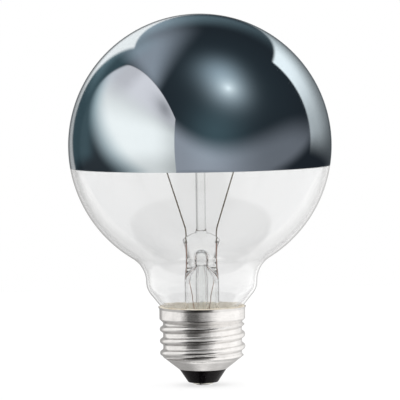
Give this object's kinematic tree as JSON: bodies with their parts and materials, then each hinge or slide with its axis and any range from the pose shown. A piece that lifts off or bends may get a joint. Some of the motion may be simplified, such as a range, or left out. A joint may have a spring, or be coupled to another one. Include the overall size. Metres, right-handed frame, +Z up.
{
  "type": "globe light bulb",
  "caption": "Clear glass globe lamp with a mirrored crown, a filament on a glass stem, and a rolled metal screw cap with a black insulator and a soldered centre contact.",
  "frame": {"origin": "middle of the centre contact's lowest face, on the lamp's axis", "axes": "+Z up the lamp's axis from the cap to the crown, +X to the right of the picture in the plane of the two leads, +Y away from the picture's camera"},
  "size_m": [0.08, 0.08, 0.113],
  "materials": {
    "clear_glass": "blown, clear and smooth",
    "mirror_film": "bright metal film on the inside of the glass",
    "stem_glass": "clear, flame worked",
    "nickel_wire": "drawn wire",
    "copper_wire": "copper surface, drawn wire",
    "tungsten_coil": "fine dark coil",
    "support_metal": "drawn wire",
    "cement": "baked, matt",
    "cap_metal": "bright rolled sheet",
    "black_glass": "moulded, glossy and opaque",
    "contact_metal": "tinned",
    "solder": "cast, dull bright"
  },
  "bodies": {
    "root": {"glass_globe": "clear_glass", "mirror_coating": "mirror_film", "stem_flare": "stem_glass", "exhaust_tube": "stem_glass", "support_rod": "stem_glass", "inner_lead_left": "nickel_wire", "inner_lead_right": "nickel_wire", "seal_wire_left": "copper_wire", "seal_wire_right": "copper_wire", "centre_lead": "copper_wire", "side_lead": "copper_wire", "filament": "tungsten_coil", "support_wire_left": "support_metal", "support_wire_middle": "support_metal", "support_wire_right": "support_metal", "basing_cement": "cement", "screw_shell": "cap_metal", "insulator": "black_glass", "centre_contact": "contact_metal", "centre_solder": "solder", "side_solder": "solder"}
  },
  "joints": []
}
